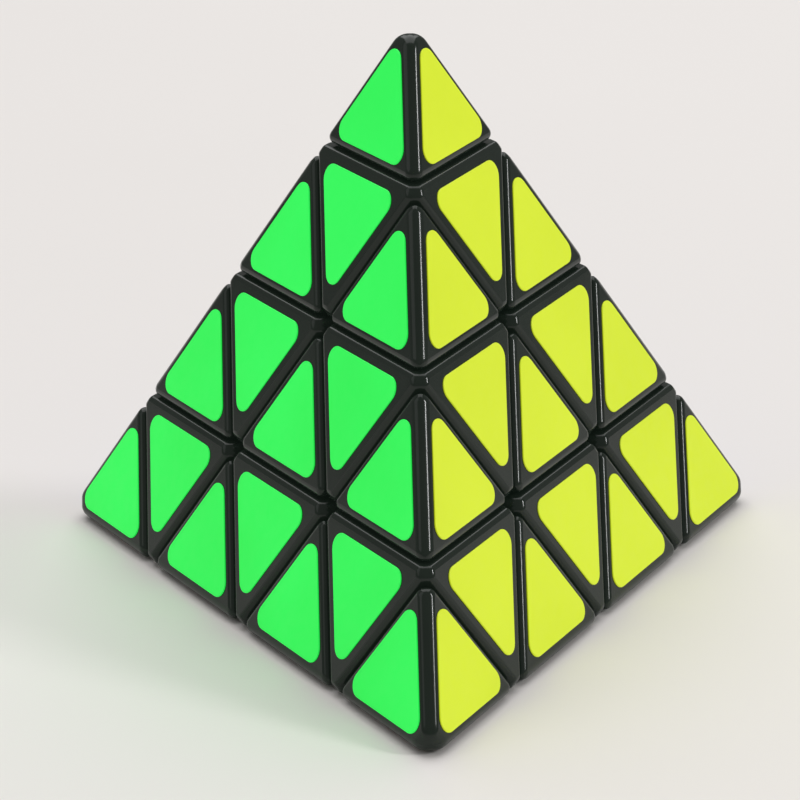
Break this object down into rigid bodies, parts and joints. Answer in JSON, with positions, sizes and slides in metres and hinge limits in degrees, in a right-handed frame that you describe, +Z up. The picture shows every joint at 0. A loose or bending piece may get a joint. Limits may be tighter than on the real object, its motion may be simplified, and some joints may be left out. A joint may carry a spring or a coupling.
{
  "type": "pyramid twisty puzzle",
  "caption": "Pyramid twisty puzzle of black plastic pieces with coloured triangular stickers, turning about its corners, its tips and its deep layers.",
  "frame": {"origin": "middle of the resting face, on the surface the puzzle stands on", "axes": "+Z up through the top corner; the front corner points to -Y; the right corner lies to +X"},
  "size_m": [0.0934, 0.0813, 0.0764],
  "materials": {
    "black_plastic": "satin moulded ABS, lightly polished",
    "core_plastic": "matte moulded nylon",
    "zinc_steel": "zinc plated",
    "spring_steel": "drawn spring wire",
    "green_vinyl": "fluorescent vinyl sticker",
    "yellow_vinyl": "fluorescent vinyl sticker",
    "blue_vinyl": "vinyl sticker",
    "red_vinyl": "vinyl sticker"
  },
  "bodies": {
    "core": {"core_spider": "core_plastic", "core_screws": "zinc_steel", "core_washers": "zinc_steel", "core_springs": "spring_steel"},
    "top_pivot": {"inner_pivot_top": "black_plastic"},
    "top_corner": {"axial_top": "black_plastic"},
    "top_tip": {"tip_top": "black_plastic"},
    "front_pivot": {"inner_pivot_front": "black_plastic"},
    "front_corner": {"axial_front": "black_plastic"},
    "front_tip": {"tip_front": "black_plastic"},
    "right_pivot": {"inner_pivot_right": "black_plastic"},
    "right_corner": {"axial_right": "black_plastic"},
    "right_tip": {"tip_right": "black_plastic"},
    "left_pivot": {"inner_pivot_left": "black_plastic"},
    "left_corner": {"axial_left": "black_plastic"},
    "left_tip": {"tip_left": "black_plastic"},
    "wing_top_front": {"wing_top_front": "black_plastic"},
    "wing_top_right": {"wing_top_right": "black_plastic"},
    "wing_top_left": {"wing_top_left": "black_plastic"},
    "wing_front_top": {"wing_front_top": "black_plastic"},
    "wing_front_right": {"wing_front_right": "black_plastic"},
    "wing_front_left": {"wing_front_left": "black_plastic"},
    "wing_right_top": {"wing_right_top": "black_plastic"},
    "wing_right_front": {"wing_right_front": "black_plastic"},
    "wing_right_left": {"wing_right_left": "black_plastic"},
    "wing_left_top": {"wing_left_top": "black_plastic"},
    "wing_left_front": {"wing_left_front": "black_plastic"},
    "wing_left_right": {"wing_left_right": "black_plastic"},
    "mid_edge_top_front": {"mid_edge_top_front": "black_plastic"},
    "mid_edge_top_right": {"mid_edge_top_right": "black_plastic"},
    "mid_edge_top_left": {"mid_edge_top_left": "black_plastic"},
    "mid_edge_front_right": {"mid_edge_front_right": "black_plastic"},
    "mid_edge_front_left": {"mid_edge_front_left": "black_plastic"},
    "mid_edge_right_left": {"mid_edge_right_left": "black_plastic"},
    "centre_left_face": {"centre_left_face": "black_plastic"},
    "centre_right_face": {"centre_right_face": "black_plastic"},
    "centre_back_face": {"centre_back_face": "black_plastic"},
    "centre_base_face": {"centre_base_face": "black_plastic"}
  },
  "joints": [
    {"name": "deep_turn_top", "type": "hinge", "parent": "core", "child": "top_pivot", "pos_m": [0, 0, 0.02017], "axis": [0, 0, 1], "range_deg": [-360, 360]},
    {"name": "corner_turn_top", "type": "hinge", "parent": "top_pivot", "child": "top_corner", "pos_m": [0, 0, 0.02017], "axis": [0, 0, 1], "continuous": true},
    {"name": "tip_turn_top", "type": "hinge", "parent": "top_corner", "child": "top_tip", "pos_m": [0, 0, 0.02017], "axis": [0, 0, 1], "continuous": true},
    {"name": "deep_turn_front", "type": "hinge", "parent": "core", "child": "front_pivot", "pos_m": [0, 0, 0.02017], "axis": [0, -0.9428, -0.3333], "range_deg": [-360, 360]},
    {"name": "corner_turn_front", "type": "hinge", "parent": "front_pivot", "child": "front_corner", "pos_m": [0, 0, 0.02017], "axis": [0, -0.9428, -0.3333], "continuous": true},
    {"name": "tip_turn_front", "type": "hinge", "parent": "front_corner", "child": "front_tip", "pos_m": [0, 0, 0.02017], "axis": [0, -0.9428, -0.3333], "continuous": true},
    {"name": "deep_turn_right", "type": "hinge", "parent": "core", "child": "right_pivot", "pos_m": [0, 0, 0.02017], "axis": [0.8165, 0.4714, -0.3333], "range_deg": [-360, 360]},
    {"name": "corner_turn_right", "type": "hinge", "parent": "right_pivot", "child": "right_corner", "pos_m": [0, 0, 0.02017], "axis": [0.8165, 0.4714, -0.3333], "continuous": true},
    {"name": "tip_turn_right", "type": "hinge", "parent": "right_corner", "child": "right_tip", "pos_m": [0, 0, 0.02017], "axis": [0.8165, 0.4714, -0.3333], "continuous": true},
    {"name": "deep_turn_left", "type": "hinge", "parent": "core", "child": "left_pivot", "pos_m": [0, 0, 0.02017], "axis": [-0.8165, 0.4714, -0.3333], "range_deg": [-360, 360]},
    {"name": "corner_turn_left", "type": "hinge", "parent": "left_pivot", "child": "left_corner", "pos_m": [0, 0, 0.02017], "axis": [-0.8165, 0.4714, -0.3333], "continuous": true},
    {"name": "tip_turn_left", "type": "hinge", "parent": "left_corner", "child": "left_tip", "pos_m": [0, 0, 0.02017], "axis": [-0.8165, 0.4714, -0.3333], "continuous": true},
    {"name": "wing_top_front_with_deep_front", "type": "hinge", "parent": "top_corner", "child": "wing_top_front", "pos_m": [0, 0, 0.02017], "axis": [0, -0.9428, -0.3333], "range_deg": [-360, 360]},
    {"name": "wing_top_right_with_deep_right", "type": "hinge", "parent": "top_corner", "child": "wing_top_right", "pos_m": [0, 0, 0.02017], "axis": [0.8165, 0.4714, -0.3333], "range_deg": [-360, 360]},
    {"name": "wing_top_left_with_deep_left", "type": "hinge", "parent": "top_corner", "child": "wing_top_left", "pos_m": [0, 0, 0.02017], "axis": [-0.8165, 0.4714, -0.3333], "range_deg": [-360, 360]},
    {"name": "wing_front_top_with_deep_top", "type": "hinge", "parent": "front_corner", "child": "wing_front_top", "pos_m": [0, 0, 0.02017], "axis": [0, 0, 1], "range_deg": [-360, 360]},
    {"name": "wing_front_right_with_deep_right", "type": "hinge", "parent": "front_corner", "child": "wing_front_right", "pos_m": [0, 0, 0.02017], "axis": [0.8165, 0.4714, -0.3333], "range_deg": [-360, 360]},
    {"name": "wing_front_left_with_deep_left", "type": "hinge", "parent": "front_corner", "child": "wing_front_left", "pos_m": [0, 0, 0.02017], "axis": [-0.8165, 0.4714, -0.3333], "range_deg": [-360, 360]},
    {"name": "wing_right_top_with_deep_top", "type": "hinge", "parent": "right_corner", "child": "wing_right_top", "pos_m": [0, 0, 0.02017], "axis": [0, 0, 1], "range_deg": [-360, 360]},
    {"name": "wing_right_front_with_deep_front", "type": "hinge", "parent": "right_corner", "child": "wing_right_front", "pos_m": [0, 0, 0.02017], "axis": [0, -0.9428, -0.3333], "range_deg": [-360, 360]},
    {"name": "wing_right_left_with_deep_left", "type": "hinge", "parent": "right_corner", "child": "wing_right_left", "pos_m": [0, 0, 0.02017], "axis": [-0.8165, 0.4714, -0.3333], "range_deg": [-360, 360]},
    {"name": "wing_left_top_with_deep_top", "type": "hinge", "parent": "left_corner", "child": "wing_left_top", "pos_m": [0, 0, 0.02017], "axis": [0, 0, 1], "range_deg": [-360, 360]},
    {"name": "wing_left_front_with_deep_front", "type": "hinge", "parent": "left_corner", "child": "wing_left_front", "pos_m": [0, 0, 0.02017], "axis": [0, -0.9428, -0.3333], "range_deg": [-360, 360]},
    {"name": "wing_left_right_with_deep_right", "type": "hinge", "parent": "left_corner", "child": "wing_left_right", "pos_m": [0, 0, 0.02017], "axis": [0.8165, 0.4714, -0.3333], "range_deg": [-360, 360]},
    {"name": "mid_edge_top_front_with_deep_front", "type": "hinge", "parent": "top_pivot", "child": "mid_edge_top_front", "pos_m": [0, 0, 0.02017], "axis": [0, -0.9428, -0.3333], "range_deg": [-360, 360]},
    {"name": "mid_edge_top_right_with_deep_right", "type": "hinge", "parent": "top_pivot", "child": "mid_edge_top_right", "pos_m": [0, 0, 0.02017], "axis": [0.8165, 0.4714, -0.3333], "range_deg": [-360, 360]},
    {"name": "mid_edge_top_left_with_deep_left", "type": "hinge", "parent": "top_pivot", "child": "mid_edge_top_left", "pos_m": [0, 0, 0.02017], "axis": [-0.8165, 0.4714, -0.3333], "range_deg": [-360, 360]},
    {"name": "mid_edge_front_right_with_deep_right", "type": "hinge", "parent": "front_pivot", "child": "mid_edge_front_right", "pos_m": [0, 0, 0.02017], "axis": [0.8165, 0.4714, -0.3333], "range_deg": [-360, 360]},
    {"name": "mid_edge_front_left_with_deep_left", "type": "hinge", "parent": "front_pivot", "child": "mid_edge_front_left", "pos_m": [0, 0, 0.02017], "axis": [-0.8165, 0.4714, -0.3333], "range_deg": [-360, 360]},
    {"name": "mid_edge_right_left_with_deep_left", "type": "hinge", "parent": "right_pivot", "child": "mid_edge_right_left", "pos_m": [0, 0, 0.02017], "axis": [-0.8165, 0.4714, -0.3333], "range_deg": [-360, 360]},
    {"name": "centre_left_with_deep_left", "type": "hinge", "parent": "mid_edge_top_front", "child": "centre_left_face", "pos_m": [0, 0, 0.02017], "axis": [-0.8165, 0.4714, -0.3333], "range_deg": [-360, 360]},
    {"name": "centre_right_with_deep_right", "type": "hinge", "parent": "mid_edge_top_front", "child": "centre_right_face", "pos_m": [0, 0, 0.02017], "axis": [0.8165, 0.4714, -0.3333], "range_deg": [-360, 360]},
    {"name": "centre_back_with_deep_left", "type": "hinge", "parent": "mid_edge_top_right", "child": "centre_back_face", "pos_m": [0, 0, 0.02017], "axis": [-0.8165, 0.4714, -0.3333], "range_deg": [-360, 360]},
    {"name": "centre_base_with_deep_left", "type": "hinge", "parent": "mid_edge_front_right", "child": "centre_base_face", "pos_m": [0, 0, 0.02017], "axis": [-0.8165, 0.4714, -0.3333], "range_deg": [-360, 360]}
  ],
  "couplings": [
    {"joint": "wing_top_front_with_deep_front", "follows": "deep_turn_front", "ratio": 1},
    {"joint": "wing_top_right_with_deep_right", "follows": "deep_turn_right", "ratio": 1},
    {"joint": "wing_top_left_with_deep_left", "follows": "deep_turn_left", "ratio": 1},
    {"joint": "wing_front_top_with_deep_top", "follows": "deep_turn_top", "ratio": 1},
    {"joint": "wing_front_right_with_deep_right", "follows": "deep_turn_right", "ratio": 1},
    {"joint": "wing_front_left_with_deep_left", "follows": "deep_turn_left", "ratio": 1},
    {"joint": "wing_right_top_with_deep_top", "follows": "deep_turn_top", "ratio": 1},
    {"joint": "wing_right_front_with_deep_front", "follows": "deep_turn_front", "ratio": 1},
    {"joint": "wing_right_left_with_deep_left", "follows": "deep_turn_left", "ratio": 1},
    {"joint": "wing_left_top_with_deep_top", "follows": "deep_turn_top", "ratio": 1},
    {"joint": "wing_left_front_with_deep_front", "follows": "deep_turn_front", "ratio": 1},
    {"joint": "wing_left_right_with_deep_right", "follows": "deep_turn_right", "ratio": 1},
    {"joint": "mid_edge_top_front_with_deep_front", "follows": "deep_turn_front", "ratio": 1},
    {"joint": "mid_edge_top_right_with_deep_right", "follows": "deep_turn_right", "ratio": 1},
    {"joint": "mid_edge_top_left_with_deep_left", "follows": "deep_turn_left", "ratio": 1},
    {"joint": "mid_edge_front_right_with_deep_right", "follows": "deep_turn_right", "ratio": 1},
    {"joint": "mid_edge_front_left_with_deep_left", "follows": "deep_turn_left", "ratio": 1},
    {"joint": "mid_edge_right_left_with_deep_left", "follows": "deep_turn_left", "ratio": 1},
    {"joint": "centre_left_with_deep_left", "follows": "deep_turn_left", "ratio": 1},
    {"joint": "centre_right_with_deep_right", "follows": "deep_turn_right", "ratio": 1},
    {"joint": "centre_back_with_deep_left", "follows": "deep_turn_left", "ratio": 1},
    {"joint": "centre_base_with_deep_left", "follows": "deep_turn_left", "ratio": 1}
  ]
}
